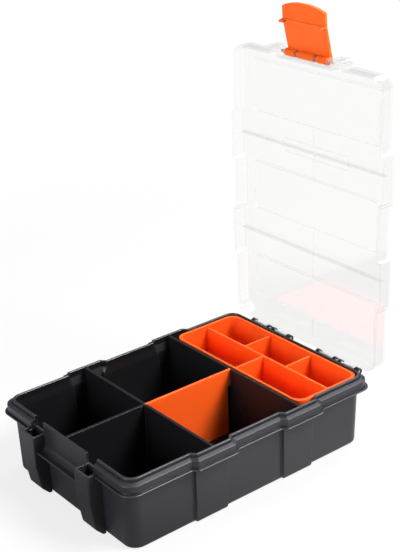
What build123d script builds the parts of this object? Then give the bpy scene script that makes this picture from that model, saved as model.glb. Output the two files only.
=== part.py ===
from build123d import *
import os
from math import cos, radians, sin, tan

# Parts case with an open clear lid. Millimetres, origin at the centre of the base underside,
# latch side at -Y, hinge side at +Y, +Z up. The lid stands open, square to the base.

# Plan of the rim, and of the bumps on its long sides
lip_half_x = 77.4
lip_half_y = 109.8
lip_corner = 10.0
corner_tighten = 0.35
rim_bump_half = 16.3
rim_bump_step = 3.5
rim_bump_slope = 45.0
wall_bump_half = 13.2
wall_bump_step = 2.0
wall_bump_slope = 70.0

# Heights of the rim, upwards from the underside of its flange
flange_low_z = 45.2
flange_thick = 1.2
flange_edge = 0.35
neck_height = 1.1
bead_height = 4.8
shelf_rise = 1.1
ridge_rise = 2.3

# Rim section, measured inwards from the edge of the flange
neck_inset = 2.2
bead_inset = 1.6
bead_round = 0.5
shelf_inner_inset = 4.5
ridge_outer_inset = 4.9
ridge_inner_inset = 6.9
ridge_round = 0.7
groove_depth = 0.5
lip_wall = 1.6

# Walls of the base
floor_thick = 2.0
wall_thick = 1.8
wall_inset_x = 7.0
wall_inset_y = 6.2
wall_draft = 0.9
wall_corner = 9.0
flare_start = 0.3
flare_drop = 1.3
base_edge_round = 2.5
floor_round = 2.0
round_steps = 4

# Fixed partitions
partition_thick = 2.0
partition_drop = 0.3
front_partition_y = -38.2
rear_partition_y = 39.7
divider_groove_depth = 1.0

# Latch recess in the front of the base
notch_half = 37.4
notch_step = 0.5
plate_half = 26.0
plate_inset = 4.2
catch_top_z = 35.0
catch_thick = 1.0
catch_out = 2.8
catch_blend = 4.0
pillar_inner_x = 24.7
pillar_width = 15.9
pillar_out = 5.2
pillar_wall = 1.6
pillar_pocket_z = 22.0
pillar_bend_z = 25.0
pillar_low_out = 1.6
pillar_low_z = 5.5
pillar_foot_inset = 3.8
pillar_edge_round = 0.8

# Hinge
hinge_out = 1.25
hinge_drop = 1.15
hinge_pin_r = 1.2
running_gap = 0.05
lug_r = 2.5
side_gap = 0.4
turn_gap = 0.3
hinge_group_starts = [-55.4, 17.8]
small_lug_width = 3.0
pair_lug_width = 2.8
wide_lug_width = 4.2
first_pair_offset = 17.7
second_pair_offset = 23.3
wide_lug_offset = 40.1
pin_end_gap = 0.5

# Lid, as it lies closed
lid_inset_x = 2.3
lid_inset_y = 0.6
lid_depth = 11.7
lid_wall = 1.6
lid_seat_gap = 0.3
lid_edge_round = 1.2
lid_bump_half = 18.6
lid_bump_step = 3.3
lid_bump_slope = 75.0
lid_rib_thick = 1.2
lid_rib_depth = 4.5
rib_side_gap = 0.5
short_rib_depth = 1.2
window_side_inset = 12.4
window_front_inset = 11.0
window_back_inset = 15.6
window_margin = 19.5
window_corner = 2.5
window_step = 0.8
frame_half_x = 34.2
frame_half_y = 5.4
frame_corner = 1.5
frame_line = 0.7
frame_depth = 0.5
lid_open_angle = 90.0

# Boss of the lid round the latch
boss_half = 39.0
boss_out = 4.4
boss_corner = 3.0
recess_half = 26.5
knuckle_x = 9.5
knuckle_width = 2.5

# Latch, as it hangs closed
latch_pivot_out = 1.1
latch_pivot_rise = 4.4
latch_half = 21.3
latch_thick = 1.9
latch_barrel_r = 2.7
latch_face_out = 3.9
latch_pin_r = 1.1
latch_snap_gap = 0.3
catch_rib_high = 1.4
catch_rib_out = 1.2
hook_out = 4.0
hook_width = 4.6
tab_length = 12.9
tab_flare = 10.5
tab_crown = 3.4
tab_corner = 1.5
latch_open_angle = 76.5

# Lift-out tray
tray_front_gap = 2.5
tray_drop = 1.2
tray_depth = 23.0
tray_seat_drop = 1.4
tray_wall = 1.5
tray_corner = 8.0
tray_seat_gap = 0.36
tray_draft = 0.7
tray_edge_round = 1.5
cell_top_drop = 1.8
front_row_depth = 31.2
front_cell_x = -2.0
rear_cell_xs = [-23.7, 21.5]

# Lift-out divider
divider_thick = 2.0
divider_fit = 0.3
divider_head_depth = 13.4
divider_neck_gap = 2.4

# Heights worked out from the sizes above
flange_high_z = flange_low_z + flange_thick
bead_low_z = flange_high_z + neck_height
shelf_outer_z = bead_low_z + bead_height
shelf_inner_z = shelf_outer_z + shelf_rise
ridge_top_z = shelf_inner_z + ridge_rise
flare_low_z = flange_low_z + flare_start
flare_high_z = shelf_outer_z - flare_drop
partition_top_z = ridge_top_z - partition_drop
notch_low_z = bead_low_z - notch_step
pillar_top_z = bead_low_z
catch_low_z = catch_top_z - catch_thick
hinge_z = shelf_outer_z - hinge_drop
lid_low_z = shelf_outer_z + lid_seat_gap
lid_top_z = lid_low_z + lid_depth
lid_ceiling_z = lid_top_z - lid_wall
latch_pivot_z = lid_low_z + latch_pivot_rise
catch_rib_z = catch_low_z - latch_snap_gap - catch_rib_high / 2
tray_top_z = ridge_top_z - tray_drop
tray_bottom_z = tray_top_z - tray_depth
tray_flange_z = flare_high_z - tray_seat_drop
divider_head_z = partition_top_z - divider_head_depth

# Places worked out from the sizes above
wall_low_x = lip_half_x - wall_inset_x
wall_low_y = lip_half_y - wall_inset_y
inner_top_grow = wall_draft - wall_thick
front_wall_y = -(wall_low_y + wall_draft)
plate_front_y = -(lip_half_y - plate_inset)
plate_back_y = plate_front_y + wall_thick
catch_front_y = -(lip_half_y + catch_out)
pillar_outer_x = pillar_inner_x + pillar_width
pillar_front_y = -(lip_half_y + pillar_out)
pillar_low_y = -(lip_half_y + pillar_low_out)
pillar_foot_y = -(lip_half_y - pillar_foot_inset)
hinge_y = lip_half_y + hinge_out
boss_front_y = -(lip_half_y + boss_out)
latch_pivot_y = -(lip_half_y + latch_pivot_out)
recess_back_y = latch_pivot_y + latch_barrel_r + turn_gap
rib_shift = partition_thick / 2 + rib_side_gap + lid_rib_thick / 2
front_window = (-(lip_half_y - window_front_inset), front_partition_y - window_margin)
middle_window = (front_partition_y + window_margin, rear_partition_y - window_margin)
back_window = (rear_partition_y + window_margin, lip_half_y - window_back_inset)
window_half_x = lip_half_x - window_side_inset
tray_front_y = rear_partition_y + partition_thick / 2 + tray_front_gap
cell_row_y = tray_front_y + front_row_depth

# How far cutting shapes reach past what they cut
overcut = 20.0
nudge = 1.0
os.makedirs("parts", exist_ok=True)


def box(x_low, x_high, y_low, y_high, z_low, z_high):
    """Block between two corners."""
    centre = ((x_low + x_high) / 2, (y_low + y_high) / 2, (z_low + z_high) / 2)
    return Pos(*centre) * Box(x_high - x_low, y_high - y_low, z_high - z_low)


def rod(radius, x_low, x_high, y, z):
    """Cylinder along X."""
    turned = Rot(0, 90, 0) * Cylinder(radius, x_high - x_low)
    return Pos((x_low + x_high) / 2, y, z) * turned


def profile_along_x(points_or_wire, x_low, x_high):
    """Closed YZ outline drawn out along X."""
    face = make_face(points_or_wire)
    placed = Plane.YZ.offset(x_low) * face
    return extrude(placed, x_high - x_low, dir=(1, 0, 0))


def bumped_plan(half_x, half_y, corner, step, half, slope, z):
    """Rounded rectangle with a bump on its long sides at each fixed cross wall."""
    plan = RectangleRounded(2 * half_x, 2 * half_y, corner)
    root = half_x - nudge
    wide = half + step / tan(radians(slope))
    for y in (front_partition_y, rear_partition_y):
        edge = Polyline(
            (root, y - wide),
            (half_x, y - wide),
            (half_x + step, y - half),
            (half_x + step, y + half),
            (half_x, y + wide),
            (root, y + wide),
            close=True,
        )
        bump = make_face(edge)
        plan += bump + mirror(bump, Plane.YZ)
    return Pos(0, 0, z) * plan.face()


def rim_plan(inset, z):
    """Outline of the rim moved inwards."""
    corner = lip_corner - corner_tighten * inset
    half = rim_bump_half - inset * tan(radians(rim_bump_slope / 2))
    outline = (lip_half_x - inset, lip_half_y - inset, corner)
    return bumped_plan(*outline, rim_bump_step, half, rim_bump_slope, z)


def wall_plan(grow, z):
    """Outline of the drafted wall, grown from its foot."""
    half = wall_bump_half + grow * tan(radians(wall_bump_slope / 2))
    outline = (wall_low_x + grow, wall_low_y + grow, wall_corner)
    return bumped_plan(*outline, wall_bump_step, half, wall_bump_slope, z)


def plain_plan(half_x, y_low, y_high, corner, z):
    """Rounded rectangle between two Y values."""
    return Pos(0, (y_low + y_high) / 2, z) * RectangleRounded(2 * half_x, y_high - y_low, corner).face()


def quarter(radius):
    """Inset and rise along a rounded lower edge, from its foot."""
    turns = [radians(90 * step / round_steps) for step in range(round_steps + 1)]
    return [(radius * (1 - sin(turn)), radius * (1 - cos(turn))) for turn in turns]


def inner_space():
    """Room inside the walls, with the bulge behind the latch plate."""
    foot = [wall_plan(-wall_thick - inset, floor_thick + rise) for inset, rise in quarter(floor_round)]
    flare = [wall_plan(inner_top_grow, flare_low_z), rim_plan(ridge_inner_inset, flare_high_z)]
    edge = []
    for inset, rise in reversed(quarter(ridge_round)):
        edge.append(rim_plan(ridge_inner_inset - inset, ridge_top_z - rise))
    above = rim_plan(ridge_inner_inset - ridge_round, ridge_top_z + overcut)
    room = loft(foot + flare + edge + [above], ruled=True)
    bulge = box(
        -pillar_inner_x,
        pillar_inner_x,
        plate_back_y,
        front_wall_y + 2 * wall_thick,
        catch_top_z,
        ridge_top_z + overcut,
    )
    return room + bulge


def outer_walls():
    """Drafted walls, flared inside the rim."""
    foot = [wall_plan(-inset, rise) for inset, rise in quarter(base_edge_round)]
    top = rim_plan(ridge_inner_inset - wall_thick, flare_high_z)
    return loft(foot + [wall_plan(wall_draft, flare_low_z), top], ruled=True)


def rim():
    """Flange, neck and bead, with the sloping shelf, groove and ridge inside them."""
    flange = [
        rim_plan(flange_edge, flange_low_z),
        rim_plan(0, flange_low_z + flange_edge),
        rim_plan(0, flange_high_z - flange_edge),
        rim_plan(flange_edge, flange_high_z),
    ]
    neck = extrude(rim_plan(neck_inset, flange_low_z), bead_low_z - flange_low_z + nudge)
    edge = [rim_plan(bead_inset, bead_low_z)]
    for inset, rise in reversed(quarter(bead_round)):
        edge.append(rim_plan(bead_inset + inset, shelf_outer_z - rise))
    shelf = rim_plan(shelf_inner_inset, shelf_inner_z)
    lip = loft(flange, ruled=True) + neck + loft(edge + [shelf], ruled=True)
    groove = extrude(rim_plan(shelf_inner_inset, shelf_inner_z - groove_depth), overcut)
    crest = []
    for inset, rise in reversed(quarter(ridge_round)):
        crest.append(rim_plan(ridge_outer_inset + inset, ridge_top_z - rise))
    ridge = loft([rim_plan(ridge_outer_inset, flange_low_z)] + crest, ruled=True)
    skirt_top = shelf_outer_z - lip_wall
    hollow_low = flange_low_z - nudge
    hollow = extrude(rim_plan(bead_inset + lip_wall, hollow_low), skirt_top - hollow_low)
    end_x = notch_half + lip_wall
    hollow -= box(-end_x, end_x, -lip_half_y, front_wall_y, 0, shelf_outer_z)
    return lip - groove + ridge - hollow


def latch_plate():
    """Plate behind the latch, with the catch shelf that the latch hooks under."""
    reach = pillar_inner_x + pillar_wall / 2
    inner_y = front_wall_y + wall_thick / 2
    bend = (plate_front_y - catch_blend, catch_top_z + catch_blend)
    section = [
        Polyline(
            (plate_front_y, catch_top_z + catch_blend),
            (plate_front_y, ridge_top_z),
            (plate_back_y, ridge_top_z),
            (plate_back_y, catch_top_z),
            (inner_y, catch_top_z),
            (inner_y, catch_low_z),
            (catch_front_y, catch_low_z),
            (catch_front_y, catch_top_z),
            (plate_front_y - catch_blend, catch_top_z),
        ),
        CenterArc(bend, catch_blend, 270, 90),
    ]
    shelf = profile_along_x(section, -reach, reach)
    head = box(-plate_half, plate_half, plate_front_y, plate_back_y, notch_low_z, ridge_top_z)
    plate = shelf + head
    return fillet(plate.edges().filter_by(Axis.X).group_by(Axis.Z)[-1], ridge_round)


def pillar():
    """Hollow pillar on the +X side of the latch."""
    back_y = front_wall_y + wall_thick / 2
    shape = Polyline(
        (back_y, 0),
        (pillar_foot_y, 0),
        (pillar_low_y, pillar_low_z),
        (pillar_front_y, pillar_bend_z),
        (pillar_front_y, pillar_top_z),
        (back_y, pillar_top_z),
        close=True,
    )
    body = profile_along_x(shape, pillar_inner_x, pillar_outer_x)
    front_edges = body.edges().filter_by(Axis.X).sort_by(Axis.Y)[:3]
    body = fillet(front_edges.sort_by(Axis.Z)[:2], catch_blend)
    upright = body.edges().filter_by(Axis.Z).group_by(Axis.Y)[0]
    body = fillet(upright, pillar_edge_round)
    pocket = box(
        pillar_inner_x + pillar_wall,
        pillar_outer_x - pillar_wall,
        pillar_front_y + pillar_wall,
        front_wall_y,
        pillar_pocket_z,
        pillar_top_z + overcut,
    )
    return body - pocket


def lug_spans():
    """X ranges of the hinge lugs of the base."""
    spans = []
    for start in hinge_group_starts:
        spans.append((start, start + small_lug_width))
        for offset in (first_pair_offset, second_pair_offset):
            spans.append((start + offset, start + offset + pair_lug_width))
        spans.append((start + wide_lug_offset, start + wide_lug_offset + wide_lug_width))
    return spans


def barrel_spans():
    """X ranges of the lid barrels, between the lugs."""
    spans = []
    for start in hinge_group_starts:
        spans.append((start + small_lug_width + side_gap, start + first_pair_offset - side_gap))
        pair_end = start + second_pair_offset + pair_lug_width
        spans.append((pair_end + side_gap, start + wide_lug_offset - side_gap))
    return spans


def pin_spans():
    """X ranges of the two hinge pins."""
    spans = []
    for start in hinge_group_starts:
        end = start + wide_lug_offset + wide_lug_width
        spans.append((start + pin_end_gap, end - pin_end_gap))
    return spans


def hinge_lugs():
    """Lugs on the back of the rim."""
    lugs = Part()
    root_y = lip_half_y - bead_inset - lip_wall
    for low, high in lug_spans():
        lugs += rod(lug_r, low, high, hinge_y, hinge_z)
        lugs += box(low, high, root_y, hinge_y, flange_low_z, hinge_z)
    return lugs


def hinge_pockets():
    """Room in the rim for the lid barrels."""
    reach = lug_r + turn_gap
    pockets = Part()
    for low, high in barrel_spans():
        pockets += box(
            low - side_gap,
            high + side_gap,
            hinge_y - reach,
            hinge_y + overcut,
            hinge_z - reach,
            hinge_z + overcut,
        )
    return pockets


def make_latch_mount():
    """Latch plate, catch shelf and the two pillars."""
    side = pillar()
    return latch_plate() + side + mirror(side, Plane.YZ)


def make_tub(room, mount):
    """Walls, floor, rim and hinge lugs of the base."""
    tub = rim() + outer_walls() - room
    front = -lip_half_y - overcut
    above = ridge_top_z + overcut
    tub -= box(-notch_half, notch_half, front, front_wall_y, flange_low_z - nudge, above)
    tub -= box(-notch_half, notch_half, front, plate_back_y + overcut, notch_low_z, above)
    tub -= hinge_pockets()
    tub += hinge_lugs()
    for low, high in pin_spans():
        tub -= rod(hinge_pin_r, low - overcut / 2, high + overcut / 2, hinge_y, hinge_z)
    return tub - mount


def cross_wall(y):
    """Fixed wall from side to side of the base."""
    half = partition_thick / 2
    far_x = lip_half_x + rim_bump_step
    return box(-far_x, far_x, y - half, y + half, 0, partition_top_z)


def divider_groove(y_low):
    """Groove for one end of the divider."""
    slot = divider_thick / 2 + divider_fit
    return box(-slot, slot, y_low, y_low + divider_groove_depth, 0, ridge_top_z)


def make_front_partition(room):
    """Fixed T of walls between the front cells."""
    half = partition_thick / 2
    middle = box(-half, half, -lip_half_y, front_partition_y, 0, partition_top_z)
    walls = (cross_wall(front_partition_y) + middle) & room
    return walls - divider_groove(front_partition_y + half - divider_groove_depth)


def make_rear_partition(room):
    """Fixed wall in front of the tray."""
    return (cross_wall(rear_partition_y) & room) - divider_groove(rear_partition_y - partition_thick / 2)


def make_divider():
    """Loose wall between the two fixed cross walls."""
    half = partition_thick / 2
    tongue = divider_groove_depth - divider_fit
    y_low = front_partition_y + half - tongue
    y_high = rear_partition_y - half + tongue
    low_z = floor_thick + divider_fit
    side = divider_thick / 2
    plate = box(-side, side, y_low, y_high, low_z, partition_top_z)
    plate = fillet(plate.edges().filter_by(Axis.Y).group_by(Axis.Z)[-1], side / 2)
    neck_y = rear_partition_y - half - divider_neck_gap
    return plate - box(-side, side, neck_y, y_high, low_z, divider_head_z)


def tray_plan(inset, spread, z):
    """Tray outline, moved inwards, or spread towards the flare of the base walls."""
    seat = tray_seat_gap + inset
    half_x = wall_low_x + inner_top_grow - seat
    high_y = wall_low_y + inner_top_grow - seat
    half_x += spread * (lip_half_x - ridge_inner_inset - wall_low_x - inner_top_grow)
    high_y += spread * (lip_half_y - ridge_inner_inset - wall_low_y - inner_top_grow)
    return plain_plan(half_x, tray_front_y + inset, high_y, tray_corner - inset / 2, z)


def make_tray():
    """Tray with two cells in front and three behind."""
    spread = (tray_flange_z - flare_low_z) / (flare_high_z - flare_low_z)
    levels = [tray_plan(tray_draft, 0, tray_bottom_z), tray_plan(0, 0, flare_low_z)]
    levels += [tray_plan(0, spread, z) for z in (tray_flange_z, tray_top_z)]
    outer = loft(levels, ruled=True)
    outer = fillet(outer.edges().group_by(Axis.Z)[0], tray_edge_round)
    floor_z = tray_bottom_z + tray_wall
    foot = tray_plan(tray_wall + tray_draft, 0, floor_z)
    room = loft([foot, tray_plan(tray_wall, 0, tray_top_z + nudge)], ruled=True)
    half = tray_wall / 2
    top_z = tray_top_z - cell_top_drop
    walls = box(-lip_half_x, lip_half_x, cell_row_y - half, cell_row_y + half, floor_z, top_z)
    walls += box(front_cell_x - half, front_cell_x + half, tray_front_y, cell_row_y, floor_z, top_z)
    for x in rear_cell_xs:
        walls += box(x - half, x + half, cell_row_y, lip_half_y, floor_z, top_z)
    return outer - room + (walls & room)


def lid_plan(inset, z):
    """Outline of the lid, inside the edge of the rim."""
    outline = (lip_half_x - lid_inset_x - inset, lip_half_y - lid_inset_y - inset, lip_corner - inset)
    half = lid_bump_half - inset * tan(radians(lid_bump_slope / 2))
    return bumped_plan(*outline, lid_bump_step, half, lid_bump_slope, z)


def boss_plan(z):
    """Outline of the boss on the lid's free edge."""
    root_y = -lip_half_y + overcut
    return plain_plan(boss_half, boss_front_y, root_y, boss_corner, z)


def lid_shell():
    """Lid walls and panel, with the boss, the latch recess and the seat on the shelf."""
    shell = extrude(lid_plan(0, lid_low_z) + boss_plan(lid_low_z), lid_depth)
    shell = fillet(shell.edges().group_by(Axis.Z)[-1], lid_edge_round)
    front_wall = -(lip_half_y - lid_inset_y)
    room = extrude(lid_plan(lid_wall, lid_low_z - nudge), lid_depth - lid_wall + nudge)
    pocket = box(
        recess_half + lid_wall,
        boss_half - lid_wall,
        boss_front_y + lid_wall,
        front_wall + 2 * lid_wall,
        lid_low_z - nudge,
        lid_ceiling_z,
    )
    shell -= room + pocket + mirror(pocket, Plane.YZ)
    side = recess_half + lid_wall
    backing_top = lid_ceiling_z + lid_wall / 2
    backing = box(-side, side, front_wall, recess_back_y + lid_wall, lid_low_z, backing_top)
    recess = box(-recess_half, recess_half, front_wall - overcut, recess_back_y, 0, lid_top_z + overcut)
    seat = [
        rim_plan(bead_inset, flange_low_z),
        rim_plan(bead_inset, lid_low_z),
        rim_plan(shelf_inner_inset, shelf_inner_z + lid_seat_gap),
    ]
    return shell + backing - recess - loft(seat, ruled=True)


def lid_panels():
    """Raised window panels, and the hollows behind them."""
    raised = Part()
    hollow = Part()
    for y_low, y_high in (front_window, middle_window, back_window):
        face = plain_plan(window_half_x, y_low, y_high, window_corner, lid_top_z - window_step)
        raised += extrude(face, 2 * window_step)
        back = plain_plan(
            window_half_x - window_step,
            y_low + window_step,
            y_high - window_step,
            window_corner - window_step,
            lid_ceiling_z - window_step,
        )
        hollow += extrude(back, 2 * window_step)
    return raised, hollow


def label_frame():
    """Bare raised frame across the front cross rib."""
    low_y = front_partition_y - frame_half_y
    high_y = front_partition_y + frame_half_y
    face = plain_plan(frame_half_x, low_y, high_y, frame_corner, lid_top_z - frame_depth)
    inner = plain_plan(
        frame_half_x - frame_line,
        low_y + frame_line,
        high_y - frame_line,
        frame_corner - frame_line,
        lid_top_z - frame_depth,
    )
    return extrude(face - inner, 2 * frame_depth)


def lid_ribs():
    """Ribs under the panel, each just beside a partition of the base."""
    half = lid_rib_thick / 2
    far_x = lip_half_x - lid_inset_x - lid_wall / 2
    low_z = lid_ceiling_z - lid_rib_depth
    ribs = Part()
    for partition_y in (front_partition_y, rear_partition_y):
        y = partition_y - rib_shift
        ribs += box(-far_x, far_x, y - half, y + half, low_z, lid_top_z - lid_wall / 2)
    low_x = rib_shift - half
    high_x = rib_shift + half
    back_y = lip_half_y - lid_inset_y - lid_wall / 2
    starts = (front_window[1], middle_window[1], back_window[1])
    ends = (middle_window[0], back_window[0], back_y)
    short_low = lid_ceiling_z - short_rib_depth
    for low_y, high_y in zip(starts, ends):
        ribs += box(low_x, high_x, low_y, high_y, short_low, lid_ceiling_z + window_step)
    return ribs


def latch_knuckles():
    """Ears and knuckles of the lid that hold the latch pin."""
    back_y = recess_back_y + lid_wall / 2
    half = knuckle_width / 2
    ear_low = latch_half + side_gap
    ear_high = recess_half + lid_wall / 2
    spans = [(-ear_high, -ear_low), (ear_low, ear_high)]
    spans += [(x - half, x + half) for x in (-knuckle_x, knuckle_x)]
    low_z = latch_pivot_z - latch_barrel_r
    high_z = latch_pivot_z + latch_barrel_r
    ears = Part()
    for low, high in spans:
        ears += rod(latch_barrel_r, low, high, latch_pivot_y, latch_pivot_z)
        ears += box(low, high, latch_pivot_y, back_y, low_z, high_z)
    return ears - rod(latch_pin_r, -recess_half, recess_half, latch_pivot_y, latch_pivot_z)


def lid_barrels():
    """Hinge barrels on the back wall of the lid."""
    root_y = lip_half_y - lid_inset_y - lid_wall
    barrels = Part()
    for low, high in barrel_spans():
        barrels += rod(lug_r, low, high, hinge_y, hinge_z)
        barrels += box(low, high, root_y, hinge_y, lid_low_z, lid_low_z + lid_wall)
    return barrels


def swing_open(shape):
    """Turn a piece of the lid from closed to standing open."""
    return shape.rotate(Axis((0, hinge_y, hinge_z), (1, 0, 0)), -lid_open_angle)


def make_lid():
    """Clear lid, standing open."""
    raised, hollow = lid_panels()
    lid = lid_shell() + raised - hollow + lid_ribs() + label_frame()
    for low, high in lug_spans():
        lid -= rod(lug_r + turn_gap, low - side_gap, high + side_gap, hinge_y, hinge_z)
    lid += lid_barrels()
    for low, high in barrel_spans():
        lid -= rod(hinge_pin_r + running_gap, low - nudge, high + nudge, hinge_y, hinge_z)
    return swing_open(lid + latch_knuckles())


def latch_side_view():
    """Latch drawn out from its side view: plate, rib and flared tab, with a hook at each side."""
    outer_y = latch_pivot_y - latch_face_out
    inner_y = outer_y + latch_thick
    rib_low = catch_rib_z - catch_rib_high / 2
    rib_high = catch_rib_z + catch_rib_high / 2
    out_y = tab_length * sin(radians(tab_flare))
    down_z = tab_length * cos(radians(tab_flare))
    slant_z = latch_thick * sin(radians(tab_flare))
    shape = Polyline(
        (latch_pivot_y, latch_pivot_z + latch_barrel_r),
        (outer_y, latch_pivot_z),
        (outer_y, catch_rib_z),
        (outer_y - out_y, catch_rib_z - down_z),
        (outer_y - out_y + latch_thick, catch_rib_z - down_z - slant_z),
        (inner_y, rib_low),
        (inner_y + catch_rib_out, rib_low),
        (inner_y + catch_rib_out, rib_high),
        (inner_y, rib_high),
        (inner_y, latch_pivot_z - latch_barrel_r),
        close=True,
    )
    plate = profile_along_x(shape, -latch_half, latch_half)
    low_x = latch_half - hook_width
    hook = box(low_x, latch_half, inner_y - latch_thick / 2, inner_y + hook_out, rib_low, rib_high)
    return plate + hook + mirror(hook, Plane.YZ)


def latch_front_view():
    """Front outline of the latch, with its crowned lower edge."""
    tip_z = catch_rib_z - tab_length
    side_z = tip_z + tab_crown
    top_z = latch_pivot_z + latch_barrel_r
    lines = [
        Polyline((-latch_half, side_z), (-latch_half, top_z), (latch_half, top_z), (latch_half, side_z)),
        ThreePointArc((latch_half, side_z), (0, tip_z), (-latch_half, side_z)),
    ]
    face = make_face(lines)
    corners = face.vertices().group_by(Axis.Y)[0]
    face = fillet(corners, tab_corner)
    placed = Plane.XZ.offset(-latch_pivot_y - overcut) * face
    return extrude(placed, 2 * overcut, dir=(0, -1, 0))


def make_latch():
    """Latch, standing up from the open lid."""
    latch = latch_side_view() & latch_front_view()
    latch += rod(latch_barrel_r, -latch_half, latch_half, latch_pivot_y, latch_pivot_z)
    half = knuckle_width / 2 + side_gap
    for x in (-knuckle_x, knuckle_x):
        latch -= rod(latch_barrel_r + turn_gap, x - half, x + half, latch_pivot_y, latch_pivot_z)
    latch -= rod(latch_pin_r + running_gap, -recess_half, recess_half, latch_pivot_y, latch_pivot_z)
    latch = latch.rotate(Axis((0, latch_pivot_y, latch_pivot_z), (1, 0, 0)), -latch_open_angle)
    return swing_open(latch)


def write(name, shape):
    """Write one node, and print its volume."""
    solids = shape.solids()
    solid = solids[0] if len(solids) == 1 else Compound(solids)
    solid.label = name
    export_step(solid, f"parts/{name}.step")
    print(name, len(solids), round(solid.volume, 1))


room = inner_space()
mount = make_latch_mount()
write("tub", make_tub(room, mount))
write("latch_mount", mount)
write("front_partition", make_front_partition(room))
write("rear_partition", make_rear_partition(room))
write("divider", make_divider())
write("tray", make_tray())
write("lid", make_lid())
write("latch", make_latch())
for name, (low, high) in zip(("hinge_pin_left", "hinge_pin_right"), pin_spans()):
    write(name, rod(hinge_pin_r, low, high, hinge_y, hinge_z))
latch_pin_half = recess_half - pin_end_gap
latch_pin = rod(latch_pin_r, -latch_pin_half, latch_pin_half, latch_pivot_y, latch_pivot_z)
write("latch_pin", swing_open(latch_pin))
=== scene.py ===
import bmesh
import bpy
from mathutils import Matrix, Vector


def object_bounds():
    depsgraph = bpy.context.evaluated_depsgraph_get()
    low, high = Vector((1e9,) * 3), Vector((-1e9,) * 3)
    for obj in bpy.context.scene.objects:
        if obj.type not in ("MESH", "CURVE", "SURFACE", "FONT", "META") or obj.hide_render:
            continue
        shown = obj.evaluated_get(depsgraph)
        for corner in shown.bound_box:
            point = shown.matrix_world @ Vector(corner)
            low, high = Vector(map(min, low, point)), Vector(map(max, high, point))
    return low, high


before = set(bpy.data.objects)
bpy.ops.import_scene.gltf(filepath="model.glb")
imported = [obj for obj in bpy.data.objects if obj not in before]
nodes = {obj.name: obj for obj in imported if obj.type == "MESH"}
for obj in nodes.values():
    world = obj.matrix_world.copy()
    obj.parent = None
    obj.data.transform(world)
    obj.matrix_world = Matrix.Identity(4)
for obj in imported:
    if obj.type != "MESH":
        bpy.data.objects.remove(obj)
cadLow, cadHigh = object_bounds()
print("frame loaded,", len(nodes), "nodes")

white = (1.0, 1.0, 1.0, 1.0)
black = (0.0, 0.0, 0.0, 1.0)
plasticIor = 1.49


class Wire:  # one output of a shader node, with plain maths on it
    def __init__(self, finish, socket):
        self.finish = finish
        self.socket = socket

    def math(self, operation, *values):
        return self.finish.add("Math", {"operation": operation}, dict(enumerate(values)))

    def __add__(self, other):
        return self.math("ADD", self, other)

    def __radd__(self, other):
        return self.math("ADD", other, self)

    def __sub__(self, other):
        return self.math("SUBTRACT", self, other)

    def __rsub__(self, other):
        return self.math("SUBTRACT", other, self)

    def __mul__(self, other):
        return self.math("MULTIPLY", self, other)

    def __rmul__(self, other):
        return self.math("MULTIPLY", other, self)

    def __truediv__(self, other):
        return self.math("DIVIDE", self, other)

    def __pow__(self, other):
        return self.math("POWER", self, other)

    def least(self, other):
        return self.math("MINIMUM", self, other)

    def most(self, other):
        return self.math("MAXIMUM", self, other)

    def fade(self, start, end):  # 0 at start, 1 at end, smooth between
        return self.finish.add(
            "MapRange",
            {"interpolation_type": "SMOOTHSTEP"},
            {"Value": self, "From Min": start, "From Max": end},
        )


class Finish:  # the nodes of one material or world
    def __init__(self, owner):
        owner.use_nodes = True
        self.owner = owner
        self.tree = owner.node_tree
        self.tree.nodes.clear()

    def add(self, kind, settings=None, sockets=None, output=0):
        node = self.tree.nodes.new("ShaderNode" + kind)
        for key, value in (settings or {}).items():
            setattr(node, key, value)
        for key, value in (sockets or {}).items():
            socket = node.inputs[key]
            if isinstance(value, Wire):
                self.tree.links.new(value.socket, socket)
            else:
                socket.default_value = value
        return Wire(self, node.outputs[output])

    def mix(self, factor, first, second):  # of two colours, which are sockets 6 and 7
        return self.add(
            "Mix", {"data_type": "RGBA"}, {0: factor, 6: first, 7: second}, output=2
        )

    def blend(self, factor, first, second):  # of two shaders
        return self.add("MixShader", None, {0: factor, 1: first, 2: second})

    def place(self):
        return self.add("TexCoord", output="Object")

    def axes(self, vector):
        parts = self.add("SeparateXYZ", None, {0: vector})
        return [Wire(self, socket) for socket in parts.socket.node.outputs]

    def noise(self, scale, detail, roughness=0.5):
        return self.add(
            "TexNoise",
            None,
            {"Vector": self.place(), "Scale": scale, "Detail": detail, "Roughness": roughness},
        )

    def softEdge(self, radius):
        return self.add("Bevel", {"samples": 6}, {"Radius": radius})

    def edgeMask(self, softNormal, strength):  # 1 along the edges, 0 on the faces
        straight = self.add("NewGeometry", output="True Normal")
        along = self.add(
            "VectorMath", {"operation": "DOT_PRODUCT"}, {0: softNormal, 1: straight}, output="Value"
        )
        return (strength * (1 - along)).least(1.0)

    def bump(self, height, distance, strength, normal=None):
        sockets = {"Height": height, "Distance": distance, "Strength": strength}
        if normal is not None:
            sockets["Normal"] = normal
        return self.add("Bump", None, sockets)

    def end(self, shader, kind="Material"):
        out = self.tree.nodes.new("ShaderNodeOutput" + kind)
        self.tree.links.new(shader.socket, out.inputs["Surface"])
        return self.owner


def newFinish(name):
    return Finish(bpy.data.materials.new(name))


def rgba(color):
    return (*color, 1.0)


def scaled(color, share):
    return tuple(share * c for c in color)


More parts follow.
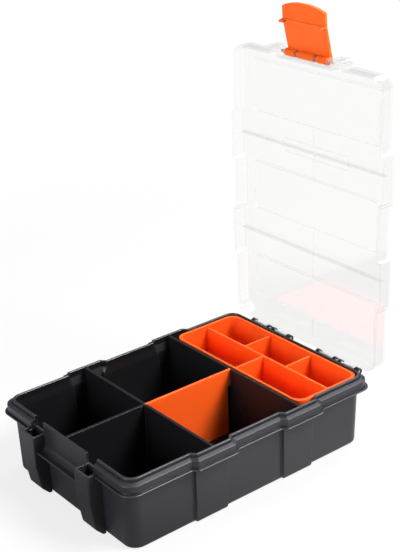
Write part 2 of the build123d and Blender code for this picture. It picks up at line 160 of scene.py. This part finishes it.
blackPlastic = {
    "outside": (0.0130, 0.0125, 0.0175),
    # painted shade: the inner faces take this darker colour, standing in for the shade inside the
    # box
    "inside": (0.0065, 0.0065, 0.0075),
    # painted highlight: the edges take this lighter colour, for the light they catch
    "edge": (0.060, 0.060, 0.068),
    "outsideRoughness": 0.38,
    "insideRoughness": 0.26,
    "roughnessSpread": 0.12,
    "outsideGloss": 0.5,
    "insideGloss": 0.2,
    "flowScale": 34.0,
    "flowFade": (0.35, 0.65),
    "flowShade": 0.8,  # the darker streaks, as a share of the outside colour
    "flowShare": 0.6,
    "grainScale": 2600.0,
    "grainDepth": 0.00005,
    "grainStrength": 0.6,
    "insideSmoothing": 0.8,
    "edgeRadius": 0.0006,
    "edgeStrength": 6.0,
    "edgeShare": 0.6,
}


def wholeOutside(f):
    return 0.0


def wholeInside(f):
    return 1.0


inwards = {
    "wallFade": (0.005, 0.02),
    "floorFade": (0.3, 0.8),
    "baseFade": (0.0005, 0.0015),
    "rimFade": (0.012, 0.02),
}


def facingInwards(f):  # 1 on the inner faces of the walls and on the floor between them, where the colour is darkened as painted shade and the finish is smoother
    px, py, pz = f.axes(f.place())
    nx, ny, nz = f.axes(f.add("TexCoord", output="Normal"))
    wallInside = (-1 * (px * nx + py * ny)).fade(*inwards["wallFade"])
    facingUp = nz.fade(*inwards["floorFade"])
    aboveBase = pz.fade(*inwards["baseFade"])
    belowRim = 1 - pz.fade(*inwards["rimFade"])
    return wallInside.most(facingUp * aboveBase * belowRim)


def blackFinish(name, insideShare, gloss):
    v = blackPlastic
    f = newFinish(name)
    inside = insideShare(f)
    flow = f.noise(v["flowScale"], detail=3.0)
    grain = f.noise(v["grainScale"], detail=2.0, roughness=0.6)
    soft = f.softEdge(v["edgeRadius"])
    edge = f.edgeMask(soft, v["edgeStrength"])
    # painted shade: the inner faces are coloured darker than the outside
    insideShaded = f.mix(inside, rgba(v["outside"]), rgba(v["inside"]))
    streaks = flow.fade(*v["flowFade"]) * (1 - inside) * v["flowShare"]
    mottled = f.mix(streaks, insideShaded, rgba(scaled(v["outside"], v["flowShade"])))
    # painted highlight: the edges are coloured lighter
    color = f.mix(edge * v["edgeShare"], mottled, rgba(v["edge"]))
    smooth = inside * (v["insideRoughness"] - v["outsideRoughness"]) + v["outsideRoughness"]
    roughness = (flow - 0.5) * v["roughnessSpread"] + smooth
    height = grain * (1 - inside * v["insideSmoothing"])
    shader = f.add(
        "BsdfPrincipled",
        None,
        {
            "Base Color": color,
            "Roughness": roughness,
            "Normal": f.bump(height, v["grainDepth"], v["grainStrength"], soft),
            "IOR": plasticIor,
            "Specular IOR Level": gloss,
        },
    )
    return f.end(shader)


orangePlastic = {
    "face": (0.76, 0.092, 0.0095),
    "deep": (0.70, 0.077, 0.0080),
    # painted light: the latch's orange is a lighter, yellower copy of the insert orange, standing
    # in for the stronger light on the latch
    "latchLitFace": (0.76, 0.118, 0.0085),
    "latchLitDeep": (0.71, 0.100, 0.0075),
    # painted highlight: the edges take this lighter, yellower colour, for the light they catch
    "edge": (1.0, 0.24, 0.06),
    "roughness": 0.36,
    "roughnessSpread": 0.16,
    "gloss": 0.20,
    "glow": 0.55,  # light that passes through the thin walls
    "glowDepth": 0.003,
    "glowReach": (1.0, 0.32, 0.10),
    "flowScale": 26.0,
    "flowFade": (0.35, 0.68),
    "flowShare": 0.4,
    "grainScale": 2200.0,
    "grainDepth": 0.00003,
    "grainStrength": 0.5,
    "edgeRadius": 0.0006,
    "edgeStrength": 6.0,
    "edgeShare": 0.6,
}


def orangeFinish(name, faceColor, deepColor):
    v = orangePlastic
    f = newFinish(name)
    flow = f.noise(v["flowScale"], detail=3.0)
    grain = f.noise(v["grainScale"], detail=2.0, roughness=0.6)
    soft = f.softEdge(v["edgeRadius"])
    edge = f.edgeMask(soft, v["edgeStrength"])
    streaks = flow.fade(*v["flowFade"]) * v["flowShare"]
    face = f.mix(streaks, rgba(faceColor), rgba(deepColor))
    shader = f.add(
        "BsdfPrincipled",
        None,
        {
            # painted highlight: the edges are coloured lighter
            "Base Color": f.mix(edge * v["edgeShare"], face, rgba(v["edge"])),
            "Roughness": (flow - 0.5) * v["roughnessSpread"] + v["roughness"],
            "Normal": f.bump(grain, v["grainDepth"], v["grainStrength"], soft),
            "IOR": plasticIor,
            "Specular IOR Level": v["gloss"],
            "Subsurface Weight": v["glow"],
            "Subsurface Scale": v["glowDepth"],
            "Subsurface Radius": v["glowReach"],
        },
    )
    return f.end(shader)


clearPlastic = {
    "through": (0.985, 0.984, 0.981),
    "hazeAndEdgeShade": (0.60, 0.60, 0.61),
    "hazeRoughness": 0.5,
    "faceHaze": 0.015,
    # painted shade: along its edges the lid is hazier and greyer, for the darker lines its edges
    # show
    "edgeHaze": 0.26,
    "hazeSpread": 0.01,
    "glossFacing": 0.050,
    "glossGrazing": 0.22,
    "glossFall": 4.0,
    "roughness": 0.07,
    "roughnessSpread": 0.06,
    "flowScale": 18.0,
    "edgeRadius": 0.0005,
    "edgeStrength": 5.0,
}


def clearFinish():
    v = clearPlastic
    f = newFinish("lid_clear_plastic")
    flow = f.noise(v["flowScale"], detail=2.0)
    soft = f.softEdge(v["edgeRadius"])
    edge = f.edgeMask(soft, v["edgeStrength"])
    through = f.add("BsdfTransparent", None, {"Color": rgba(v["through"])})
    matt = f.add(
        "BsdfPrincipled", None, {"Base Color": rgba(v["hazeAndEdgeShade"]), "Roughness": v["hazeRoughness"]}
    )
    uneven = (flow - 0.5) * v["hazeSpread"] + v["faceHaze"]
    # the uneven haze of the faces, with painted shade along the edges
    hazeAndEdgeShade = edge * (v["edgeHaze"] - v["faceHaze"]) + uneven
    shine = f.add(
        "BsdfPrincipled",
        None,
        {
            "Base Color": white,
            "Metallic": 1.0,
            "Roughness": (flow - 0.5) * v["roughnessSpread"] + v["roughness"],
            "Normal": soft,
        },
    )
    facing = f.add("LayerWeight", None, {"Blend": 0.5, "Normal": soft}, output="Facing")
    gloss = v["glossFacing"] + facing ** v["glossFall"] * v["glossGrazing"]
    return f.end(f.blend(gloss, f.blend(hazeAndEdgeShade, through, matt), shine))


pinSteel = {
    "color": (0.86, 0.86, 0.87),
    "darkShade": 0.75,
    "drawShare": 0.6,
    "drawScale": 900.0,
    "drawStretch": (0.03, 1.0, 1.0),  # drawn lines run along the pin
    "drawDepth": 0.00002,
    "drawStrength": 0.5,
    "leastRoughness": 0.30,
    "roughnessSpread": 0.2,
}


def steelFinish():
    v = pinSteel
    f = newFinish("pin_steel")
    lines = f.add("Mapping", None, {"Vector": f.place(), "Scale": v["drawStretch"]})
    drawn = f.add(
        "TexNoise", None, {"Vector": lines, "Scale": v["drawScale"], "Detail": 3.0}
    )
    dark = scaled(v["color"], v["darkShade"])
    shader = f.add(
        "BsdfPrincipled",
        None,
        {
            "Base Color": f.mix(drawn * v["drawShare"], rgba(v["color"]), rgba(dark)),
            "Metallic": 1.0,
            "Roughness": drawn * v["roughnessSpread"] + v["leastRoughness"],
            "Normal": f.bump(drawn, v["drawDepth"], v["drawStrength"]),
        },
    )
    return f.end(shader)


outsideBlack = blackFinish("mount_black_plastic", wholeOutside, blackPlastic["outsideGloss"])
# painted shade: the partitions take the darker inside colour all over, the case only on its inner
# faces
insideBlack = blackFinish("partition_black_plastic", wholeInside, blackPlastic["insideGloss"])
wallBlack = blackFinish("case_black_plastic", facingInwards, blackPlastic["outsideGloss"])
insertOrange = orangeFinish(
    "insert_orange_plastic", orangePlastic["face"], orangePlastic["deep"]
)
# painted light: the latch wears a lit copy of the insert orange
litLatchOrange = orangeFinish(
    "latch_lit_orange_plastic", orangePlastic["latchLitFace"], orangePlastic["latchLitDeep"]
)
steel = steelFinish()
wearing = {
    "tub": wallBlack,
    "latch_mount": outsideBlack,
    "front_partition": insideBlack,
    "rear_partition": insideBlack,
    "divider": insertOrange,
    "tray": insertOrange,
    "latch": litLatchOrange,
    "lid": clearFinish(),
    "hinge_pin_left": steel,
    "hinge_pin_right": steel,
    "latch_pin": steel,
}
for name, material in wearing.items():
    mesh = nodes[name].data
    if not mesh.materials:
        mesh.materials.append(material)
    for place in range(len(mesh.materials)):
        mesh.materials[place] = material
print("finishes on", len(wearing), "nodes")


studio = {
    "floorHalf": 3.0,
    "floorColor": (0.50, 0.50, 0.50),
    "floorShade": 0.22,  # how much of the object's shadow shows
    "shadeFade": (0.05, 0.5),  # square metres from the middle
    # painted reflection: the levels the floor shows in reflections, dim near the object as a
    # painted shadow and bright behind as painted light
    "mirrorAlong": (0.78, 0.62),
    "mirrorDim": 0.13,
    "mirrorFront": 0.75,
    "frontFade": (0.08, 0.26),
    "mirrorBack": 0.90,
    "backFade": (-0.08, 0.12),
    "skyStrength": 0.45,
    "sideStrength": 0.14,
    "skyFade": (0.15, 0.9),
}


def seenDirectly(f):
    paths = f.add("LightPath").socket.node.outputs
    return Wire(f, paths["Is Camera Ray"]).most(Wire(f, paths["Is Transmission Ray"]))


def floorFinish():  # painted reflection: in reflections it is bright behind on the right as painted light, dimmer in front on the left as painted shadow
    v = studio
    f = newFinish("studio_floor")
    matt = f.add("BsdfDiffuse", None, {"Color": rgba(v["floorColor"])})
    glow = f.add("Emission", None, {"Color": white, "Strength": 1.0})
    px, py = f.axes(f.place())[:2]
    along = px * v["mirrorAlong"][0] + py * v["mirrorAlong"][1]
    behind = along.fade(*v["backFade"]) * v["mirrorBack"]
    before = (-1 * along).fade(*v["frontFade"]) * v["mirrorFront"]
    level = behind + before + v["mirrorDim"]
    brightest = v["mirrorDim"] + v["mirrorBack"]
    tone = f.mix(level / brightest, black, white)
    # painted reflection: seen by glossy rays the floor glows, though it is no lamp
    paintedReflection = f.add("Emission", None, {"Color": tone, "Strength": brightest})
    unseen = f.blend(f.add("LightPath", output="Is Glossy Ray"), matt, paintedReflection)
    far = (px * px + py * py).fade(*v["shadeFade"])
    factor = seenDirectly(f) * (1 - (1 - far) * v["floorShade"])
    return f.end(f.blend(factor, unseen, glow))


def makeFloor():
    mesh = bpy.data.meshes.new("floor")
    shape = bmesh.new()
    bmesh.ops.create_grid(shape, x_segments=1, y_segments=1, size=studio["floorHalf"])
    bmesh.ops.translate(shape, vec=(0, 0, cadLow.z), verts=shape.verts)
    shape.to_mesh(mesh)
    shape.free()
    floor = bpy.data.objects.new("floor", mesh)
    mesh.materials.append(floorFinish())
    bpy.context.scene.collection.objects.link(floor)


def makeWorld():  # bright overhead, dimmer round the sides, white behind the object
    world = bpy.data.worlds.new("studio")
    bpy.context.scene.world = world
    f = Finish(world)
    up = f.axes(f.add("TexCoord", output="Generated"))[2]
    sky, side, plain = [
        f.add("Background", None, {"Color": white, "Strength": strength})
        for strength in (studio["skyStrength"], studio["sideStrength"], 1.0)
    ]
    soft = f.blend(up.fade(*studio["skyFade"]), side, sky)
    f.end(f.blend(seenDirectly(f), soft, plain), "World")


lamps = {
    "frontLamp": {"place": (0.1, -1.6, 0.6), "aim": (0, 0.1, 0.25), "width": 0.9, "watts": 26.0},
    "sideLamp": {"place": (1.1, 0.8, 1.4), "aim": (0, 0, 0.05), "width": 0.8, "watts": 70.0},
    "backLamp": {"place": (-0.5, 1.2, 1.6), "aim": (0, 0, 0.05), "width": 1.2, "watts": 19.0},
}


def makeLamp(name, lamp):
    data = bpy.data.lights.new(name, "AREA")
    data.size = lamp["width"]
    data.energy = lamp["watts"]
    light = bpy.data.objects.new(name, data)
    light.location = lamp["place"]
    towards = Vector(lamp["aim"]) - Vector(lamp["place"])
    light.rotation_euler = towards.to_track_quat("-Z", "Y").to_euler()
    bpy.context.scene.collection.objects.link(light)


viewpoint = {
    "place": (0.6168, -0.4719, 0.4819),
    "right": (0.6302, 0.7758, -0.0323),
    "up": (-0.2937, 0.2767, 0.9150),
    "back": (0.7188, -0.5671, 0.4022),
    "focalPixels": 1236.0,
    "longSide": 552,
    "sensor": 36.0,
    "nearest": 0.01,
    "farthest": 50,
}


def makeCamera():
    v = viewpoint
    data = bpy.data.cameras.new("camera")
    data.sensor_fit = "AUTO"
    data.sensor_width = v["sensor"]
    data.lens = v["focalPixels"] * v["sensor"] / v["longSide"]
    data.clip_start = v["nearest"]
    data.clip_end = v["farthest"]
    camera = bpy.data.objects.new("camera", data)
    turn = Matrix((v["right"], v["up"], v["back"])).transposed()
    camera.matrix_world = Matrix.Translation(v["place"]) @ turn.to_4x4()
    bpy.context.scene.collection.objects.link(camera)
    bpy.context.scene.camera = camera


makeFloor()
makeWorld()
for name, lamp in lamps.items():
    makeLamp(name, lamp)
makeCamera()
bpy.context.scene.view_settings.view_transform = "Standard"
print("studio and camera made")
